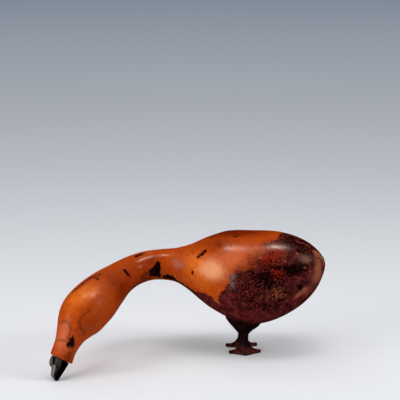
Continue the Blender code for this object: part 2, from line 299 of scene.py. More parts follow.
# Small tan and orange marks, where the pale under-skin shows
FLECKS = [
    (0.6, [(157, 18), (160, 22), (163, 19), (167, 25)]),
    (0.5, [(193, 119), (198, 138)]),
    (0.7, [(335, 50), (336, 52)]),
    (0.6, [(341, 78), (342, 79)]),
    (0.7, [(347, 89), (348, 90)]),
    (1.2, [(247, 121), (250, 123)]),
    (0.7, [(248, 149), (249, 152)]),
    (0.5, [(261.6, 135), (262, 136)]),
    (0.6, [(257, 41), (257.5, 42.5)]),
    (0.7, [(337, 21), (340, 20), (343, 17)]),
    (0.7, [(346, 18), (350, 19)]),
    (1.2, [(355, 31), (360, 27), (364, 28)]),
    (0.9, [(368, 60), (370, 72)]),
    (0.5, [(11.8, 353), (12.2, 356)]),
    (0.5, [(300, 97), (305, 99), (306, 104), (311, 108)]),
    (0.4, [(303, 104), (308, 102), (312, 101)]),
    (0.4, [(305, 96), (307, 103), (306, 110)]),
    (0.9, [(300, 250), (304, 258), (310, 260)]),
    (0.7, [(330, 280), (336, 284)]),
    (0.6, [(270, 268), (272, 272)]),
]
# Grey bloom on the neck; the first band, just past the orange skin's edge, is painted
# sheen of the light on the left on the maroon skin
GREY_AND_SHEEN_MARKS = [
    # Painted sheen: the grey band of reflected light just inside the maroon skin
    (1.8, [(264, 77), (263, 84), (265, 91)]),
    (1.6, [(194, 66), (196, 71)]),
    (1.5, [(202, 71), (203, 76)]),
    (1.2, [(198, 84), (198, 88)]),
    (1.0, [(253, 44), (254, 46)]),
    (1.8, [(184, 282), (188, 290)]),
    (2.0, [(252, 262), (258, 268)]),
]
# Soft areas: along, around, reach along, reach around in millimetres, and strength;
# first where the orange skin is paler or, below 0, darker
TONES = [
    (66, 28, 20, 12, 0.6),
    (48, 8, 14, 10, 0.45),
    (4, 76, 8, 6, -0.8),
    (40, 82, 15, 14, -0.35),
    (92, 36, 18, 16, -0.5),
    (97, 92, 24, 12, -0.6),
    (130, 150, 40, 14, -0.7),
    (142, 60, 22, 14, -0.35),
    (165, 50, 12, 9, -0.5),
    (163, 10, 12, 7, 0.4),
    (262, 4, 38, 13, -1.1),
    (243, 38, 20, 11, -0.6),
    (219, 66, 14, 14, 0.5),
    (232, 78, 24, 18, 0.5),
    (270, 55, 16, 12, 0.2),
    (236, 108, 22, 10, 0.2),
    (62, 300, 22, 14, 0.5),
    (110, 244, 26, 14, -0.6),
    (150, 300, 24, 10, 0.3),
    (232, 282, 24, 18, 0.5),
    (206, 236, 20, 14, -0.4),
]
# Rose tint on the orange skin, partly its own colour and partly painted sheen of the light
# on the left, on the flank beside its glow and on the head by the beak
ROSE_AND_SHEEN_AREAS = [
    (14, 30, 10, 10, 0.8),
    (28, 14, 9, 9, 0.6),
    (253, 64, 22, 15, 0.5),
    (266, 52, 16, 13, 0.6),
    (203, 62, 22, 12, 0.5),
    (252, 290, 24, 16, 0.5),
    (20, 300, 12, 12, 0.4),
]
# Near-black clouds in the maroon skin
MURK_AREAS = [
    (333, 79, 14, 7, 1.2),
    (299, 76, 9, 8, 0.7),
    (317, 71, 7, 6, 0.6),
    (300, 90, 16, 6, 0.6),
    (333, 22, 26, 18, 0.85),
    (331, 107, 5, 5, 0.6),
    (322, 262, 16, 16, 1.1),
    (300, 226, 14, 12, 0.7),
    (346, 312, 14, 16, 0.7),
    (286, 240, 10, 10, 0.5),
]
# Deep red clouds in the maroon skin
EMBER_AREAS = [
    (310, 79, 8, 6, 1.0),
    (306, 50, 12, 8, 0.9),
    (300, 62, 10, 7, 0.6),
    (283, 95, 12, 10, 0.5),
    (316, 46, 10, 6, 0.5),
    (325, 128, 14, 8, 0.4),
    (280, 124, 16, 12, 0.3),
    (300, 270, 14, 10, 0.8),
    (318, 300, 12, 10, 0.5),
    (276, 222, 16, 14, 0.4),
]
# Where the dark dots stand thickest
DOT_AREAS = [
    (290, 90, 26, 22, 0.9),
    (304, 112, 24, 16, 0.8),
    (308, 62, 10, 8, 0.5),
    (296, 262, 24, 22, 0.9),
    (280, 224, 20, 16, 0.6),
]
# The net of fine tan lines
SPARK_AREAS = [
    (306, 103, 9, 8, 1.2),
    (318, 113, 10, 8, 0.7),
    (296, 100, 12, 9, 0.5),
    (314, 60, 8, 7, 1.0),
    (322, 66, 6, 5, 0.5),
    (302, 256, 10, 9, 1.0),
    (314, 274, 8, 7, 0.6),
]
# Tan at the rim of the tail: worn flecks, and along the tail's edge a painted sheen of the
# light on the right
RIM_WEAR_AND_SHEEN_AREAS = [
    (360, 92, 6, 16, 0.8),
    (352, 114, 7, 10, 0.6),
    (338, 134, 8, 8, 0.4),
    (359, 32, 6, 5, 0.9),
    (335, 121, 4, 3, 0.9),
    (330, 123, 4, 3, 1.0),
    (325, 124, 4, 3, 0.9),
    (360, 270, 6, 16, 0.5),
]
# Painted highlight: the broad glow of the light on the left on the flank, laid on as a
# paler colour
PAINTED_GLOW_AREAS = [
    (240, 79, 15, 9, 1.1),
    (240, 68, 13, 10, 0.4),
    (246, 276, 15, 10, 0.8),
]
# The soft areas above, by the names that the material reads
SOFT_AREAS = {
    "tone": TONES,
    "rose": ROSE_AND_SHEEN_AREAS,
    "pale": PAINTED_GLOW_AREAS,
    "murk": MURK_AREAS,
    "ember": EMBER_AREAS,
    "dots": DOT_AREAS,
    "spark": SPARK_AREAS,
    "rim": RIM_WEAR_AND_SHEEN_AREAS,
}
# Where the maroon skin begins gradually, in mottled patches
SOFT_COAST = [
    (300, 30, 14, 12, 1.5),
    (288, 48, 14, 12, 3.0),
    (278, 62, 12, 10, 3.0),
    (270, 74, 8, 6, 1.0),
    (268, 286, 14, 14, 2.0),
    (306, 322, 12, 12, 1.5),
]
# A small ring mark on the belly, and half the width of its line
RING_MARK = [
    (272.9, 98), (273.8, 95.8), (275, 95.2), (276.3, 95.9), (277.1, 98), (276.3, 100.2),
    (275, 100.8), (273.8, 100.1), (272.9, 98),
]
RING_HALF_WIDTH = 0.5


def to_frame(points):
    """Move points in millimetres from the stand's centre into the object's frame."""
    return (np.asarray(points, dtype=float) + np.array(STAND_PLACE)) * MM


def ease(value):
    """Rise smoothly from 0 to 1 as value goes from 0 to 1."""
    value = np.clip(value, 0.0, 1.0)
    return value * value * (3.0 - 2.0 * value)


def unit(vectors):
    return vectors / np.linalg.norm(vectors, axis=-1, keepdims=True)


def circle(sides):
    """Evenly spaced angles round a full turn, in radians."""
    return 2.0 * np.pi * np.arange(sides) / sides


def read_columns(places, known, rows):
    """Read between rows of numbers that are known at rising places, column by column."""
    return np.stack([np.interp(places, known, column) for column in rows.T], axis=1)


def through_points(rows, steps):
    """Read a smooth curve through rows of numbers, a few steps for each span."""
    rows = np.array(rows, dtype=float)
    padded = np.vstack([2 * rows[0] - rows[1], rows, 2 * rows[-1] - rows[-2]])
    share = np.arange(steps)[:, None] / steps
    curve = []
    for before, start, end, after in zip(padded, padded[1:], padded[2:], padded[3:]):
        twist = 3 * (start - end) + after - before
        bend = share * (2 * before - 5 * start + 4 * end - after + share * twist)
        curve.append(start + 0.5 * share * (end - before + bend))
    curve.append(rows[-1:])
    return np.vstack(curve)


class Skin:
    """The gourd's outer skin as evenly spaced rings."""

    def __init__(self):
        centre, radius, girth = self.fine_rows()
        direction = self.directions(centre, radius)
        top = self.tops(direction, girth)
        step = np.hypot(np.linalg.norm(np.diff(centre, axis=0), axis=1), np.diff(radius))
        along = np.concatenate([[0.0], np.cumsum(step)])
        self.along = np.linspace(0.0, along[-1], GOURD_RINGS)
        self.centre = read_columns(self.along, along, centre)
        self.radius = np.interp(self.along, along, radius)
        self.top = unit(read_columns(self.along, along, top))
        direction = unit(read_columns(self.along, along, direction))
        self.side = unit(np.cross(direction, self.top))
        self.around = 360.0 * np.arange(GOURD_SIDES) / GOURD_SIDES

    def fine_rows(self):
        """Closely spaced centres and radii, and the number of the fullest ring."""
        rows = through_points(GOURD_LINE, SPAN_STEPS)
        girth = rows[-1]
        tip = np.array(TAIL_TIP)
        share = np.sin(0.5 * np.pi * np.arange(1, TAIL_STEPS) / TAIL_STEPS)
        tail = girth[:3] + (tip - girth[:3]) * share[:, None]
        tail[:, 2] = girth[2] + (tip[2] - girth[2]) * ease(share)
        tail_radius = girth[3] * (1.0 - share ** 2) ** TAIL_BLUNTNESS
        centre = np.vstack([rows[:, :3], tail])
        return centre, np.concatenate([rows[:, 3], tail_radius]), len(rows) - 1

    def directions(self, centre, radius):
        """The way each ring faces: along the centre line, over the ring's own width."""
        line = np.vstack([centre, np.array(TAIL_TIP)])
        step = np.linalg.norm(np.diff(line, axis=0), axis=1)
        reach = np.concatenate([[0.0], np.cumsum(step)])
        ahead = np.clip(reach[:-1] + radius, 0.0, reach[-1])
        behind = np.clip(reach[:-1] - radius, 0.0, reach[-1])
        chord = unit(read_columns(ahead, reach, line) - read_columns(behind, reach, line))
        near_mouth = (1.0 - ease(reach[:-1] / MOUTH_REACH))[:, None]
        return unit(chord * (1.0 - near_mouth) - np.array(MOUTH_AXIS) * near_mouth)

    def tops(self, direction, girth):
        """The direction of the bird's back at each ring, carried along without twisting."""
        top = np.zeros_like(direction)
        up = np.array([0.0, 0.0, 1.0])
        top[girth] = unit(up - direction[girth] * (up @ direction[girth]))
        for order in (range(girth + 1, len(top)), range(girth - 1, -1, -1)):
            before = girth
            for index in order:
                carried = top[before]
                top[index] = unit(carried - direction[index] * (carried @ direction[index]))
                before = index
        return top

    def outward(self):
        """The direction from each ring's centre to each of its points."""
        angle = np.radians(self.around)[None, :, None]
        return np.cos(angle) * self.top[:, None] + np.sin(angle) * self.side[:, None]

    def points(self, clearance=0.0):
        """The smooth skin's points, or those of a skin that stands off it by a clearance."""
        return self.centre[:, None] + self.outward() * (self.radius[:, None, None] + clearance)


def lump_depth(points):
    """How far each point of the skin lies below the smooth surface."""
    flat = points.reshape(-1, 3)
    depth = np.zeros(len(flat))
    for size, amount in LUMPS:
        waves = np.array([noise.noise(Vector(point) / size) for point in flat])
        depth += amount * (0.5 + 0.5 * waves)
    return depth.reshape(points.shape[:2])


def mouth_rings(skin):
    """Rings from the bottom of the beak's socket out over the mouth's rounded lip."""
    mouth = skin.centre[0]
    outward = skin.outward()[0]
    inward = -np.array(MOUTH_AXIS)
    sizes = [
        (SOCKET_DEPTH, 0.5 * SOCKET_RADIUS),
        (SOCKET_DEPTH, SOCKET_RADIUS - BOTTOM_BEVEL),
        (SOCKET_DEPTH - BOTTOM_BEVEL, SOCKET_RADIUS),
        (OPENING_BEVEL, SOCKET_RADIUS),
        (0.0, SOCKET_RADIUS + OPENING_BEVEL),
    ]
    for index in range(LIP_RINGS):
        angle = 0.5 * math.pi * index / LIP_RINGS
        round_in = LIP_ROUND * (1.0 - math.sin(angle))
        sizes.append((LIP_ROUND - LIP_ROUND * math.cos(angle), skin.radius[0] - round_in))
    return np.stack([mouth + inward * depth + outward * radius for depth, radius in sizes])


def mesh_from_rings(name, rings, last=None):
    """Close a stack of equal rings into one skin, with a point in the middle of each end.

    Where the shape runs on beyond the last ring, the point at that end is given.
    """
    count, sides = rings.shape[:2]
    first = rings[0].mean(axis=0)
    if last is None:
        last = rings[-1].mean(axis=0)
    points = np.vstack([rings.reshape(-1, 3), first, last])
    here = np.arange(count * sides).reshape(count, sides)
    after = np.roll(here, -1, axis=1)
    quads = np.stack([here[:-1], here[1:], after[1:], after[:-1]], axis=-1).reshape(-1, 4)
    start = np.stack([np.full(sides, count * sides), here[0], after[0]], axis=-1)
    end = np.stack([np.full(sides, count * sides + 1), after[-1], here[-1]], axis=-1)
    faces = quads.tolist() + start.tolist() + end.tolist()
    mesh = bpy.data.meshes.new(name)
    mesh.from_pydata(to_frame(points).tolist(), [], faces)
    mesh.validate()
    mesh.shade_smooth()
    return mesh


def segment_distance(x, y, radius):
    """The least distance from the origin to a broken line, for each row of points.

    A segment that seems longer than half the girth lies on the far side, and is left out.
    """
    x0, y0, x1, y1 = x[:, :-1], y[:, :-1], x[:, 1:], y[:, 1:]
    run = (x1 - x0) ** 2 + (y1 - y0) ** 2 + 1e-9
    share = np.clip(-(x0 * (x1 - x0) + y0 * (y1 - y0)) / run, 0.0, 1.0)
    distance = np.hypot(x0 + share * (x1 - x0), y0 + share * (y1 - y0))
    near = np.abs(y1 - y0) < np.pi * radius[:, None]
    return np.where(near, distance, FAR_AWAY).min(axis=1)


def beyond(x, y, radius):
    """Whether a closed line of the skin is crossed an odd number of times, going to the mouth."""
    x0, y0, x1, y1 = x[:, :-1], y[:, :-1], x[:, 1:], y[:, 1:]
    crossing = (y0 > 0.0) != (y1 > 0.0)
    crossing &= np.abs(y1 - y0) < np.pi * radius[:, None]
    rise = np.where(crossing, y1 - y0, 1.0)
    at = x0 - y0 * (x1 - x0) / rise
    return (crossing & (at < 0.0)).sum(axis=1) % 2 == 1


class SkinMap:
    """Measures how deep each point of the skin lies in marks given as (along, around)."""

    def __init__(self, along, around, radius):
        self.along = along
        self.around = around
        self.radius = radius
        self.everywhere = np.ones(len(along), dtype=bool)

    def close_to(self, line):
        """Which skin points may lie close to a line, going by the distance along the skin."""
        reach = np.array(line)[:, 0]
        return (self.along > reach.min() - MARK_LIMIT) & (self.along < reach.max() + MARK_LIMIT)

    def offsets(self, line, chosen):
        """Where a line's points lie from each chosen skin point, in unrolled millimetres."""
        line = np.array(line, dtype=float)
        x = line[:, 0] - self.along[chosen, None]
        turn = (line[:, 1] - self.around[chosen, None] + 180.0) % 360.0 - 180.0
        return x, np.radians(turn) * self.radius[chosen, None]

    def spread(self, depth, chosen, limit):
        """The chosen points' depths within a limit; all others lie that far outside."""
        full = np.full(len(self.along), -limit)
        full[chosen] = np.clip(depth, -limit, limit)
        return full

    def past(self, line, chosen, limit):
        """Depth inside a closed outline, or past a line that goes right round the skin."""
        x, y = self.offsets(list(line) + [line[0]], chosen)
        distance = segment_distance(x, y, self.radius[chosen])
        depth = np.where(beyond(x, y, self.radius[chosen]), distance, -distance)
        return self.spread(depth, chosen, limit)

    def stroke(self, half_width, line):
        """Depth inside a line of some width, or distance outside it as a negative number."""
        chosen = self.close_to(line)
        x, y = self.offsets(line, chosen)
        depth = half_width - segment_distance(x, y, self.radius[chosen])
        return self.spread(depth, chosen, MARK_LIMIT)

    def deepest(self, patches=(), strokes=()):
        """The greatest depth in any of several patches and strokes."""
        layers = [self.past(patch, self.close_to(patch), MARK_LIMIT) for patch in patches]
        layers += [self.stroke(half_width, line) for half_width, line in strokes]
        return np.max(layers, axis=0)

    def blobs(self, places):
        """The sum of soft round swellings: along, around, reach along, reach around, amount."""
        total = np.zeros(len(self.along))
        for along, around, reach_along, reach_around, amount in places:
            x, y = self.offsets([(along, around)], self.everywhere)
            spread = (x[:, 0] / reach_along) ** 2 + (y[:, 0] / reach_around) ** 2
            total += amount * np.exp(-spread)
        return total


def store(mesh, name, values):
    """Keep one number for each point of a mesh, for its material to read by name."""
    attribute = mesh.attributes.new(name, "FLOAT", "POINT")
    attribute.data.foreach_set("value", np.asarray(values, dtype=np.float32))


def colour(red, green, blue):
    """A display colour, 0 to 255 a channel, as Blender's linear colour."""
    channels = [value / 255.0 for value in (red, green, blue)]
    linear = [c / 12.92 if c <= 0.04045 else ((c + 0.055) / 1.055) ** 2.4 for c in channels]
    return (*linear, 1.0)


class Paint:
    """Builds a material from nodes; each call gives back the socket of its result."""

    def __init__(self, name):
        self.material = bpy.data.materials.new(name)
        self.material.use_nodes = True
        self.tree = self.material.node_tree
        self.shader = self.tree.nodes["Principled BSDF"]
        self.place = self.tree.nodes.new("ShaderNodeTexCoord").outputs["Object"]

    def put(self, socket, value):
        """Set a socket to a plain value, or link it to another node's result."""
        if isinstance(value, bpy.types.NodeSocket):
            self.tree.links.new(value, socket)
        else:
            socket.default_value = value

    def fill(self, node, **values):
        """Set a node's sockets; an underscore in a name stands for a space."""
        for name, value in values.items():
            self.put(node.inputs[name.replace("_", " ")], value)

    def set(self, **values):
        """Set the sockets of the surface's own shader."""
        self.fill(self.shader, **values)

    def attribute(self, name):
        node = self.tree.nodes.new("ShaderNodeAttribute")
        node.attribute_name = name
        return node.outputs["Fac"]

    def height(self):
        """The height above the floor, in metres."""
        node = self.tree.nodes.new("ShaderNodeSeparateXYZ")
        self.fill(node, Vector=self.place)
        return node.outputs["Z"]

    def distance(self):
        """The distance from the middle of the piece, in metres."""
        node = self.tree.nodes.new("ShaderNodeVectorMath")
        node.operation = "LENGTH"
        self.fill(node, Vector=self.place)
        return node.outputs["Value"]

    def math(self, operation, *values):
        node = self.tree.nodes.new("ShaderNodeMath")
        node.operation = operation
        for socket, value in zip(node.inputs, values):
            self.put(socket, value)
        return node.outputs["Value"]

    def step(self, value, low, high, start=0.0, end=1.0):
        """Go smoothly from start to end as value goes from low to high."""
        node = self.tree.nodes.new("ShaderNodeMapRange")
        node.interpolation_type = "SMOOTHSTEP"
        self.fill(node, Value=value, From_Min=low, From_Max=high, To_Min=start, To_Max=end)
        return node.outputs["Result"]

    def mix(self, share, first, second):
        """The first colour where share is 0, going over to the second where it is 1."""
        node = self.tree.nodes.new("ShaderNodeMix")
        node.data_type = "RGBA"
        self.fill(node, Factor=share, A=first, B=second)
        return node.outputs["Result"]

    def noise(self, size, detail=3.0, roughness=0.55, distortion=0.0):
        """Soft noise from 0 to 1 whose features are about size millimetres across."""
        node = self.tree.nodes.new("ShaderNodeTexNoise")
        self.fill(node, Vector=self.place, Scale=1.0 / (size * MM), Detail=detail)
        self.fill(node, Roughness=roughness, Distortion=distortion)
        return node.outputs["Fac"]

    def cells(self, size, feature="F1"):
        node = self.tree.nodes.new("ShaderNodeTexVoronoi")
        node.feature = feature
        self.fill(node, Vector=self.place, Scale=1.0 / (size * MM))
        return node.outputs["Distance"]

    def bump(self, height, strength, distance):
        """Fine relief in the surface; the distance is in millimetres."""
        node = self.tree.nodes.new("ShaderNodeBump")
        self.fill(node, Height=height, Strength=strength, Distance=distance * MM)
        return node.outputs["Normal"]


class SkinPaint(Paint):
    """The gourd's paint, with marks whose edges are made ragged by noise."""

    def __init__(self):
        super().__init__("gourd_patina")
        self.ragged = self.math("SUBTRACT", self.noise(4.2, 5.0, 0.66, 0.6), 0.5)
        self.fine = self.math("SUBTRACT", self.noise(1.5, 3.0, 0.6), 0.5)
        blur = self.math("MULTIPLY_ADD", self.attribute("soft_coast"), 0.8, 1.0)
        self.coast = self.math("DIVIDE", self.field("coast", 11.0, 6.0), blur)

    def field(self, name, ragged_amount, fine_amount):
        """A stored depth or strength, made ragged by coarse and by fine noise."""
        value = self.math("MULTIPLY_ADD", self.ragged, ragged_amount, self.attribute(name))
        return self.math("MULTIPLY_ADD", self.fine, fine_amount, value)

    def layer(self, skin, name, ragged, edge, most, tint):
        """Lay a tint over the skin where a mark or soft area is, up to a greatest share."""
        return self.mix(self.step(self.field(name, *ragged), *edge, 0.0, most), skin, tint)

    def orange(self):
        """The lit, handled skin of the head, neck and flank."""
        tone = self.field("tone", 0.9, 0.3)
        skin = self.mix(self.step(tone, -1.0, 0.0), colour(100, 22, 0), colour(182, 70, 9))
        skin = self.mix(self.step(tone, 0.0, 1.0), skin, colour(234, 116, 26))
        mottling = self.step(self.noise(12.0, 4.0, 0.6, 0.4), 0.44, 0.68, 0.0, 0.35)
        skin = self.mix(mottling, skin, colour(156, 46, 4))
        grain = self.step(self.noise(2.6, 5.0, 0.75, 0.5), 0.42, 0.66, 0.0, 0.3)
        skin = self.mix(grain, skin, colour(128, 34, 2))
        # Rose tint: partly the skin's own colour, partly painted sheen of the light on the left
        skin = self.layer(skin, "rose", (0.6, 0.25), (0.1, 1.0), 0.8, colour(212, 104, 64))
        # Painted highlight: the paler glow of the light on the left on the flank
        skin = self.layer(skin, "pale", (0.4, 0.15), (0.0, 1.1), 0.8, colour(238, 160, 112))
        return self.layer(skin, "stain", (3.4, 2.6), (-2.0, 1.2), 0.6, colour(84, 26, 10))

    def maroon(self):
        """The spotted dark skin of the tail and belly."""
        cloud = self.noise(8.0, 4.0, 0.62)
        skin = self.mix(self.step(cloud, 0.35, 0.65), colour(60, 18, 18), colour(108, 37, 33))
        skin = self.layer(skin, "ember", (1.2, 0.8), (0.1, 0.9), 0.85, colour(136, 30, 6))
        # Tan at the tail's rim: worn flecks, and painted sheen along the edge
        skin = self.layer(skin, "rim", (0.8, 0.5), (0.1, 0.9), 0.75, colour(168, 92, 66))
        skin = self.mix(self.coast_line(), skin, colour(34, 9, 12))
        skin = self.layer(skin, "ring", (1.0, 1.0), (-0.5, 0.5), 0.7, colour(28, 8, 9))
        skin = self.layer(skin, "murk", (3.2, 2.2), (0.3, 0.8), 0.95, colour(6, 0, 1))
        for size, low, high in ((3.1, 0.1, 0.9), (1.9, 0.0, 0.9)):
            dots = self.step(self.cells(size), 0.54, 0.32)
            spotted = self.step(self.field("dots", 1.6, 0.8), 0.0, 0.8, low, high)
            skin = self.mix(self.math("MULTIPLY", dots, spotted), skin, colour(8, 2, 3))
        return self.mix(self.sparks(), skin, colour(184, 104, 42))

    def coast_line(self):
        """A thin darker line just inside the maroon skin's edge, where that edge is sharp."""
        off = self.math("ABSOLUTE", self.math("SUBTRACT", self.coast, 0.8))
        sharp = self.step(self.attribute("soft_coast"), 0.8, 0.2)
        return self.math("MULTIPLY", self.step(off, 0.9, 0.1, 0.0, 0.75), sharp)

    def sparks(self):
        """A broken net of fine tan lines between the dark dots."""
        net = self.step(self.cells(1.8, "DISTANCE_TO_EDGE"), 0.15, 0.03)
        broken = self.step(self.noise(2.4, 2.0, 0.5), 0.48, 0.68)
        spark = self.step(self.attribute("spark"), 0.1, 0.9, 0.0, 0.65)
        return self.math("MULTIPLY", self.math("MULTIPLY", net, broken), spark)

    def wrinkles(self):
        """Fine creases round the mouth, from 1 at the beak to nothing on the head."""
        along = self.attribute("along")
        wobble = self.math("MULTIPLY", self.ragged, 9.0)
        turns = self.math("MULTIPLY_ADD", along, 4.2, wobble)
        return self.math("MULTIPLY", self.math("SINE", turns), self.step(along, 18.0, 5.0))


def gourd_material():
    paint = SkinPaint()
    skin = paint.mix(paint.step(paint.coast, -1.0, 1.0), paint.orange(), paint.maroon())
    # Grey marks; the band by the maroon skin's edge is painted sheen
    skin = paint.layer(skin, "grey", (14.0, 12.0), (-2.6, 2.6), 0.75, colour(122, 97, 89))
    dark = paint.field("dark", 6.0, 8.0)
    dark_cloud = paint.step(paint.noise(2.6, 3.0, 0.6), 0.5, 0.72)
    dark_skin = paint.mix(dark_cloud, colour(16, 2, 6), colour(66, 20, 16))
    skin = paint.mix(paint.step(dark, -0.9, 0.7), skin, dark_skin)
    skin = paint.layer(skin, "fleck", (4.5, 5.0), (-0.7, 1.0), 0.75, colour(190, 98, 36))
    # Rubbed wear: rougher and smoother patches in the gloss
    wear_and_painted_light = paint.step(paint.noise(22.0, 3.0, 0.55), 0.3, 0.7, 0.2, 0.28)
    handled = paint.step(paint.attribute("along"), 150.0, 90.0, 0.0, 0.1)
    paint.set(Base_Color=skin, Roughness=paint.math("ADD", wear_and_painted_light, handled))
    paint.set(Specular_IOR_Level=0.18, Specular_Tint=(1.0, 0.66, 0.46, 1.0))
    sunk = paint.step(dark, -0.4, 0.6)
    relief = paint.math("MULTIPLY_ADD", sunk, -0.5, paint.noise(3.0, 4.0, 0.6))
    relief = paint.math("MULTIPLY_ADD", paint.wrinkles(), 0.7, relief)
    paint.set(Normal=paint.bump(relief, 0.07, 0.25))
    return paint.material


def store_marks(mesh, skin, mouth_count):
    """Store how deep in each mark and how strongly in each soft area each point lies."""
    along = np.concatenate([np.zeros(mouth_count), skin.along[1:-1]])
    radius = np.concatenate([np.full(mouth_count, skin.radius[0]), skin.radius[1:-1]])
    around = np.append(np.tile(skin.around, len(along)), [0.0, 0.0])
    along = np.append(np.repeat(along, GOURD_SIDES), [0.0, skin.along[-1]])
    radius = np.append(np.repeat(radius, GOURD_SIDES), [skin.radius[0], TAIL_TIP_RADIUS])
    skin_map = SkinMap(along, around, radius)
    coast = skin_map.past(COAST, skin_map.everywhere, COAST_LIMIT)
    soft_coast = skin_map.blobs(SOFT_COAST)
    marks = {
        "soft_coast": soft_coast,
        "coast": coast / (1.0 + soft_coast),
        "dark": skin_map.deepest(DARK_PATCHES, DARK_STROKES),
        "stain": skin_map.deepest(strokes=STAINS),
        "fleck": skin_map.deepest(strokes=FLECKS),
        "grey": skin_map.deepest(strokes=GREY_AND_SHEEN_MARKS),
        "ring": skin_map.stroke(RING_HALF_WIDTH, RING_MARK),
        "along": along,
    }
    for name, areas in SOFT_AREAS.items():
        marks[name] = skin_map.blobs(areas)
    for name, values in marks.items():
        store(mesh, name, values)


def add_gourd(skin):
    points = skin.points()
    depth = lump_depth(points) * ease(skin.along / LUMPS_FULL)[:, None]
    points -= skin.outward() * depth[:, :, None]
    mouth = mouth_rings(skin)
    rings = np.concatenate([mouth, points[1:-1]])
    mesh = mesh_from_rings("gourd_goose_skin", rings, points[-1].mean(axis=0))
    store_marks(mesh, skin, len(mouth))
    mesh.materials.append(gourd_material())
    add_piece("gourd_goose_skin", mesh, "gourd")


def beak_frames(share):
    """The beak's middle, line, top side and side at each share of its length."""
    mouth_axis = np.array(MOUTH_AXIS)
    base = np.array(GOURD_LINE[0][:3]) + mouth_axis * GAP
    run = np.array(BEAK_TIP) - base
    settled = ease(share / BEAK_SETTLE)[:, None]
    line = unit(mouth_axis * (1.0 - settled) + unit(run) * settled)
    top_side = np.array(BEAK_TOP_SIDE)
    top = unit(top_side - line * (line @ top_side)[:, None])
    return base + run * share[:, None], line, top, np.cross(top, line)


def ray_to_knob(origin, outward):
    """How far a ray from the beak's middle runs to the far side of the knob, or 0."""
    centre, line, top, side = (row[0] for row in beak_frames(np.array([KNOB_SHARE])))
    axes = np.stack([line, top, side]) / np.array(KNOB_SIZE)[:, None]
    start = (origin - centre - top * KNOB_RISE) @ axes.T
    way = outward @ axes.T
    speed = (way * way).sum(axis=-1)
    heading = (way * start).sum(axis=-1)
    outside = (start * start).sum(axis=-1) - 1.0
    hit = heading * heading - speed * outside
    return np.where(hit > 0.0, (-heading + np.sqrt(np.maximum(hit, 0.0))) / speed, 0.0)


def smooth_greater(first, second, blend):
    """The greater of two values, with the corner between them rounded off."""
    overlap = np.maximum(blend - np.abs(first - second), 0.0) / blend
    return np.maximum(first, second) + overlap * overlap * blend * 0.25


def beak_body(share, angle):
    """The middle of each ring, and the direction and radius of the beak with its knob."""
    centre, _, top, side = (row[:, None] for row in beak_frames(share))
    sections = through_points(BEAK_SECTIONS, BEAK_STEPS)
    sizes = read_columns(share, sections[:, 0], sections[:, 1:])
    above, below, half_width = (column[:, None] for column in sizes.T)
    depth = np.where(np.cos(angle) > 0.0, above, below)
    reach = top * (depth * np.cos(angle))[..., None]
    reach = reach + side * (half_width * np.sin(angle))[..., None]
    outward = unit(reach)
    radius = np.linalg.norm(reach, axis=-1)
    return centre, outward, smooth_greater(radius, ray_to_knob(centre, outward), KNOB_BLEND)


def beak_sheen_and_shade(share, turned):
    """Painted sheen on the knob and top, with painted shade in the knob's crease below 0."""
    beyond_knob = ease((share - KNOB_END) / KNOB_FADE)[:, None]
    on_knob, on_top, in_crease = (
        np.exp(-(((turned - middle) / width) ** 2))
        for middle, width in (KNOB_BAND, TOP_BAND, CREASE)
    )
    return on_top * beyond_knob + (on_knob - in_crease) * (1.0 - beyond_knob)


def beak_skin():
    """The rings of the carved beak from the gourd's mouth to its tip.

    With them come each point's distance below the line between the beak's halves, its share
    of a nostril, and its painted sheen and shade.
    """
    share = np.linspace(0.0, 1.0, BEAK_RINGS)
    angle = circle(BEAK_SIDES)[None, :]
    centre, outward, radius = beak_body(share, angle)
    turned = np.abs((angle + np.pi) % (2.0 * np.pi) - np.pi)
    along_line = (share - BEAK_LINE_START) / (BEAK_LINE_END - BEAK_LINE_START)
    line_angle = (BEAK_LINE_ANGLE - BEAK_LINE_RISE * ease(along_line))[:, None]
    off_line = (turned - line_angle) * radius
    fade = (ease(share / CARVING_START) * ease((1.0 - share) / CARVING_END))[:, None]
    radius = radius - BEAK_LINE_DEPTH * fade * np.exp(-((off_line / BEAK_LINE_WIDTH) ** 2))

    length = np.linalg.norm(np.array(BEAK_TIP) - beak_frames(np.array([0.0]))[0][0])
    off_share = (share[:, None] - NOSTRIL_SHARE) * length
    off_nostril = np.hypot(off_share * NOSTRIL_SLIMNESS, (turned - NOSTRIL_ANGLE) * radius)
    nostril = ease(1.0 - off_nostril / NOSTRIL_RADIUS)
    radius = radius - NOSTRIL_DEPTH * nostril
    bevel = BEAK_EDGE_SHARE * (1.0 - ease(share * length / BEAK_EDGE))
    radius = radius * (1.0 - bevel)[:, None]
    points = centre + outward * radius[..., None]
    points[..., 2] = np.maximum(points[..., 2], 0.0)
    return points, off_line, nostril, fade * beak_sheen_and_shade(share, turned)


def tenon_rings():
    """The peg that goes into the gourd, from its inner end to the beak's flat base."""
    angle = circle(BEAK_SIDES)[:, None]
    centre, line, top, side = (row[0] for row in beak_frames(np.array([0.0])))
    outward = np.cos(angle) * top + np.sin(angle) * side
    sizes = [
        (TENON_LENGTH, 0.5 * TENON_RADIUS),
        (TENON_LENGTH, TENON_RADIUS - TENON_BEVEL),
        (TENON_LENGTH - TENON_BEVEL, TENON_RADIUS),
        (TENON_FOOT, TENON_RADIUS),
        (0.0, TENON_RADIUS + TENON_FOOT),
    ]
    return np.stack([centre - line * depth + outward * radius for depth, radius in sizes])


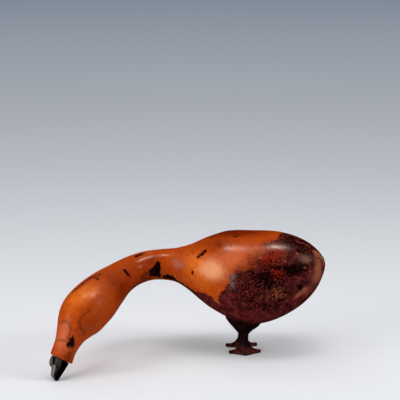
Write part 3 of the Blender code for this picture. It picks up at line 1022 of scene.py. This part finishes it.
def beak_material():
    paint = Paint("black_carved_horn")
    cloud = paint.noise(3.5, 4.0, 0.6)
    upper = paint.mix(paint.step(cloud, 0.35, 0.7), colour(30, 25, 24), colour(76, 69, 66))
    wear_and_painted_light = paint.attribute("wear_and_painted_light")
    # Painted sheen: pale grey where the knob and the beak's top catch the light
    lighter = paint.math("MULTIPLY_ADD", cloud, 0.8, paint.math("SUBTRACT", wear_and_painted_light, 0.4))
    upper = paint.mix(paint.step(lighter, 0.1, 0.9, 0.0, 0.85), upper, colour(126, 116, 112))
    # Painted shade: near black in the crease beside the knob
    upper = paint.mix(paint.step(wear_and_painted_light, -0.05, -0.5, 0.0, 0.95), upper, colour(4, 2, 3))
    # Near black below the carved line: partly the beak's own dark colour, partly painted shade on
    # the side turned away from the lights
    off_line = paint.math("MULTIPLY_ADD", cloud, 0.8, paint.attribute("below_line"))
    base = paint.mix(paint.step(off_line, -1.2, 0.2), upper, colour(3, 1, 2))
    # Painted shade: near black in the nostril's hollow
    base = paint.mix(paint.step(paint.attribute("nostril"), 0.1, 0.5), base, colour(2, 1, 2))
    grain = paint.noise(0.6, 3.0, 0.6)
    roughness = paint.step(cloud, 0.3, 0.7, 0.26, 0.4)
    paint.set(Base_Color=base, Roughness=roughness, Specular_IOR_Level=0.12)
    paint.set(Normal=paint.bump(grain, 0.25, 0.12))
    return paint.material


def add_beak():
    skin, below_line, nostril, wear_and_painted_light = beak_skin()
    tenon = tenon_rings()
    mesh = mesh_from_rings("carved_beak", np.concatenate([tenon, skin]))
    on_tenon = np.zeros(tenon.shape[0] * tenon.shape[1])
    for name, values in (("below_line", below_line), ("nostril", nostril), ("wear_and_painted_light", wear_and_painted_light)):
        store(mesh, name, np.concatenate([on_tenon, values.reshape(-1), [0.0, 0.0]]))
    mesh.materials.append(beak_material())
    add_piece("carved_beak", mesh, "beak_stopper")


def scar_rings():
    """The dried scar of the flower: a low ragged ring round a small hollow with a nub."""
    place = np.array(SCAR_PLACE)
    axis = np.array(SCAR_AXIS)
    across = unit(np.cross(axis, (0.0, 0.0, 1.0)))
    up = np.cross(across, axis)
    angle = circle(SCAR_SIDES)[:, None]
    outward = np.cos(angle) * across + np.sin(angle) * up
    rings = []
    for radius, height in through_points(SCAR_SECTIONS, SCAR_STEPS):
        level = Vector((0.0, 0.0, height))
        waves = [noise.noise(Vector(way) * SCAR_WAVES + level) for way in outward]
        ragged = SCAR_RAGGED * np.array(waves)[:, None]
        rings.append(place + outward * (radius * (1.0 + ragged)) + axis * (height + 0.5 * ragged))
    return np.stack(rings)


def scar_material():
    paint = Paint("dry_flower_scar")
    cloud = paint.noise(1.4, 4.0, 0.65)
    base = paint.mix(paint.step(cloud, 0.36, 0.62), colour(30, 12, 8), colour(158, 92, 44))
    paint.set(Base_Color=base, Roughness=0.55, Specular_IOR_Level=0.35)
    paint.set(Normal=paint.bump(cloud, 0.5, 0.3))
    return paint.material


def add_scar():
    mesh = mesh_from_rings("flower_scar", scar_rings())
    mesh.materials.append(scar_material())
    add_piece("flower_scar", mesh, "gourd")


def stand_points(aside, across, height):
    """Points given along the bird, across it and up, in the turned stand."""
    cos, sin = math.cos(STAND_TURN), math.sin(STAND_TURN)
    x = STAND_CENTRE.x + aside * cos - across * sin
    y = STAND_CENTRE.y + aside * sin + across * cos
    return np.stack(np.broadcast_arrays(x, y, height), axis=-1)


def saddle_rings():
    """The saddle, from its narrow foot between the legs up into the gourd."""
    sections = through_points(SADDLE_SECTIONS, SADDLE_STEPS)
    height, half_length, half_width = (column[:, None] for column in sections.T)
    angle = circle(SADDLE_SIDES)[None, :]
    aside = half_length * np.cos(angle)
    rise = (height - SADDLE_TILT_START) / (SADDLE_TILT_FULL - SADDLE_TILT_START)
    tilt = SADDLE_TILT * ease(rise)
    return stand_points(aside, half_width * np.sin(angle), height - tilt * aside)


def leg_rings(facing):
    """One foot and its leg; facing is -1 for the near side and 1 for the far side."""
    half = np.array(FOOT_OUTLINE)
    loop = np.vstack([half, half[-2:0:-1] * (-1.0, 1.0)])
    closed = through_points(np.vstack([loop[-1:], loop, loop[:2]]), OUTLINE_STEPS)
    outline = closed[OUTLINE_STEPS:-OUTLINE_STEPS - 1]
    aside, outward = outline[:, 0], outline[:, 1]
    angle = np.arctan2(aside, outward)
    nearest = np.min(np.abs(angle[:, None] - TOE_ANGLES), axis=1)
    toe = 1.0 - ease(nearest / TOE_SPREAD)
    ankle_height, ankle_radius = LEG_SECTIONS[0]
    edge = FOOT_EDGE + (TOE_EDGE - FOOT_EDGE) * toe
    fall = FOOT_FALL + (TOE_FALL - FOOT_FALL) * toe

    def ring(x, y, height):
        return stand_points(x * -facing, facing * (LEG_OFFSET + y), height)

    def foot_ring(share, height):
        x = aside * share + np.sin(angle) * ankle_radius * (1.0 - share)
        y = outward * share + np.cos(angle) * ankle_radius * (1.0 - share)
        return ring(x, y, height)

    rings = [
        foot_ring(FOOT_ROUND_SHARE, 0.0),
        foot_ring(1.0, FOOT_ROUND),
        foot_ring(1.0, edge - FOOT_ROUND),
    ]
    for share in np.linspace(FOOT_ROUND_SHARE, 0.0, FOOT_RINGS, endpoint=False):
        top = edge + (ankle_height - edge) * (1.0 - share) ** fall
        knuckle = math.sin(math.pi * KNUCKLES * share) ** 2 * share
        rings.append(foot_ring(share, top + KNUCKLE_RISE * knuckle * toe))
    for height, radius in through_points(LEG_SECTIONS, LEG_STEPS):
        rings.append(ring(np.sin(angle) * radius, np.cos(angle) * radius, height))
    return np.stack(rings)


def link(name, mesh):
    piece = bpy.data.objects.new(name, mesh)
    bpy.context.scene.collection.objects.link(piece)
    return piece


def final_mesh(piece):
    """The piece's mesh with its modifiers applied; the piece itself is removed."""
    shown = piece.evaluated_get(bpy.context.evaluated_depsgraph_get())
    mesh = bpy.data.meshes.new_from_object(shown)
    bpy.data.objects.remove(piece)
    return mesh


def carve_stand(gourd_rings):
    """Cut the gourd out of the saddle, grow the legs into it and soften the carving."""
    saddle = link("saddle", mesh_from_rings("saddle", saddle_rings()))
    seat = link("seat_cutter", mesh_from_rings("seat_cutter", gourd_rings))
    cut = saddle.modifiers.new("seat", "BOOLEAN")
    cut.operation = "DIFFERENCE"
    cut.solver = "EXACT"
    cut.object = seat
    work = bmesh.new()
    work.from_mesh(final_mesh(saddle))
    bpy.data.objects.remove(seat)
    for facing in (-1.0, 1.0):
        work.from_mesh(mesh_from_rings("leg", leg_rings(facing)))
    mesh = bpy.data.meshes.new("carved_stand")
    work.to_mesh(mesh)
    work.free()
    stand = link("stand_in_work", mesh)
    remesh = stand.modifiers.new("one_skin", "REMESH")
    remesh.mode = "VOXEL"
    remesh.voxel_size = STAND_VOXEL * MM
    soften = stand.modifiers.new("soften", "SMOOTH")
    soften.factor = 0.5
    soften.iterations = 3
    return final_mesh(stand)


def stand_material():
    paint = Paint("carved_rosewood")
    cloud = paint.noise(4.0, 4.0, 0.6)
    base = paint.mix(paint.step(cloud, 0.35, 0.7), colour(16, 5, 7), colour(40, 14, 16))
    # Lighter, redder colour below 8 mm, on the feet
    lighter = paint.mix(paint.step(cloud, 0.34, 0.64), colour(26, 8, 8), colour(92, 38, 28))
    base = paint.mix(paint.step(paint.height(), 8.0 * MM, 3.5 * MM), base, lighter)
    grain = paint.noise(0.8, 3.0, 0.6)
    paint.set(Base_Color=base, Roughness=paint.step(cloud, 0.3, 0.7, 0.3, 0.45))
    paint.set(Specular_IOR_Level=0.12, Specular_Tint=(1.0, 0.6, 0.55, 1.0))
    paint.set(Normal=paint.bump(grain, 0.3, 0.12))
    return paint.material


def add_stand(skin):
    mesh = carve_stand(skin.points(SEAT_CLEARANCE)[1:-1])
    mesh.shade_smooth()
    mesh.materials.clear()
    mesh.materials.append(stand_material())
    add_piece("carved_stand", mesh, "stand")


def add_piece(name, mesh, node):
    """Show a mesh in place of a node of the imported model."""
    piece = link(name, mesh)
    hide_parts(node)
    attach(piece, "root")


def add_camera():
    camera = bpy.data.objects.new("camera", bpy.data.cameras.new("camera"))
    camera.location = CAMERA_PLACE
    camera.rotation_euler = Euler((CAMERA_PITCH, 0.0, 0.0))
    camera.data.lens = CAMERA_LENS
    camera.data.sensor_width = SENSOR_WIDTH
    camera.data.clip_start = 0.1
    camera.data.clip_end = 50.0
    bpy.context.scene.collection.objects.link(camera)
    bpy.context.scene.camera = camera


def add_softbox(name, place, target, size, brightness, matte=True, gloss=True, shadows=True):
    """A glowing rectangle; it lights matte surfaces, shows in their gloss, or does both."""
    light = bpy.data.lights.new(name, "AREA")
    light.shape = "RECTANGLE"
    light.size, light.size_y = size
    light.energy = brightness * math.pi * size[0] * size[1]
    light.use_shadow = shadows
    lamp = bpy.data.objects.new(name, light)
    lamp.location = Vector(place)
    lamp.rotation_euler = (Vector(target) - Vector(place)).to_track_quat("-Z", "Y").to_euler()
    lamp.visible_diffuse = matte
    lamp.visible_glossy = gloss
    bpy.context.scene.collection.objects.link(lamp)


def add_floor():
    """A sheet of paper that darkens away from the object, as in the photograph."""
    bpy.ops.mesh.primitive_circle_add(vertices=96, radius=FLOOR_RADIUS, fill_type="NGON")
    floor = bpy.context.object
    floor.name = "floor"
    paint = Paint("floor_paper")
    # Painted pool of light: the paper's colour dims from near white to blue grey away from the
    # object
    near = paint.math("POWER", LIGHT_POOL_FADE, paint.distance())
    paint.set(Base_Color=paint.mix(near, colour(124, 141, 165), colour(244, 245, 248)))
    paint.set(Roughness=0.9, Specular_IOR_Level=0.1)
    floor.data.materials.append(paint.material)
    floor.visible_glossy = False


def add_world():
    """A weak cool light from all round, which doesn't show in gloss."""
    world = bpy.data.worlds.new("studio")
    bpy.context.scene.world = world
    world.use_nodes = True
    background = world.node_tree.nodes["Background"]
    background.inputs["Color"].default_value = (0.93, 0.97, 1.0, 1.0)
    background.inputs["Strength"].default_value = 0.22
    world.cycles_visibility.glossy = False
    bpy.context.scene.view_settings.view_transform = "Standard"


def add_lights():
    """Narrow strips for the long highlights, and broad boxes for the soft shading."""
    middle = (0.0, 0.0, 0.06)
    ceiling = ((0.0, 8.0, 3.2), (0.0, 8.0, 0.0), (8.0, 21.0))
    add_softbox("body_strip", (0.33, 0.03, 1.27), middle, (0.08, 0.36), 106.0, matte=False)
    add_softbox("neck_strip", (-0.23, -0.06, 1.3), middle, (0.08, 0.26), 92.0, matte=False)
    add_softbox("head_sheen", (0.0, -0.4, 1.2), middle, (0.14, 0.5), 2.5, matte=False)
    add_softbox("main", (0.1, -0.22, 1.25), middle, (0.5, 0.3), 4.9, gloss=False)
    add_softbox("main_left", (-0.62, -0.16, 1.1), middle, (0.4, 0.3), 2.8, gloss=False)
    add_softbox("ceiling", *ceiling, 0.36, gloss=False)
    add_softbox("glow", *ceiling, 0.84, gloss=False, shadows=False)
    add_softbox("back_left", (-0.55, 0.75, 1.2), middle, (0.3, 0.3), 2.6, gloss=False)
    add_softbox("right", (1.2, -0.25, 0.85), middle, (0.45, 0.45), 8.0)
    add_softbox("left_front", (-1.4, -0.9, 0.5), middle, (1.0, 0.8), 5.0)


gourd_skin = Skin()
add_camera()
add_floor()
add_world()
add_lights()
add_gourd(gourd_skin)
add_scar()
add_beak()
add_stand(gourd_skin)
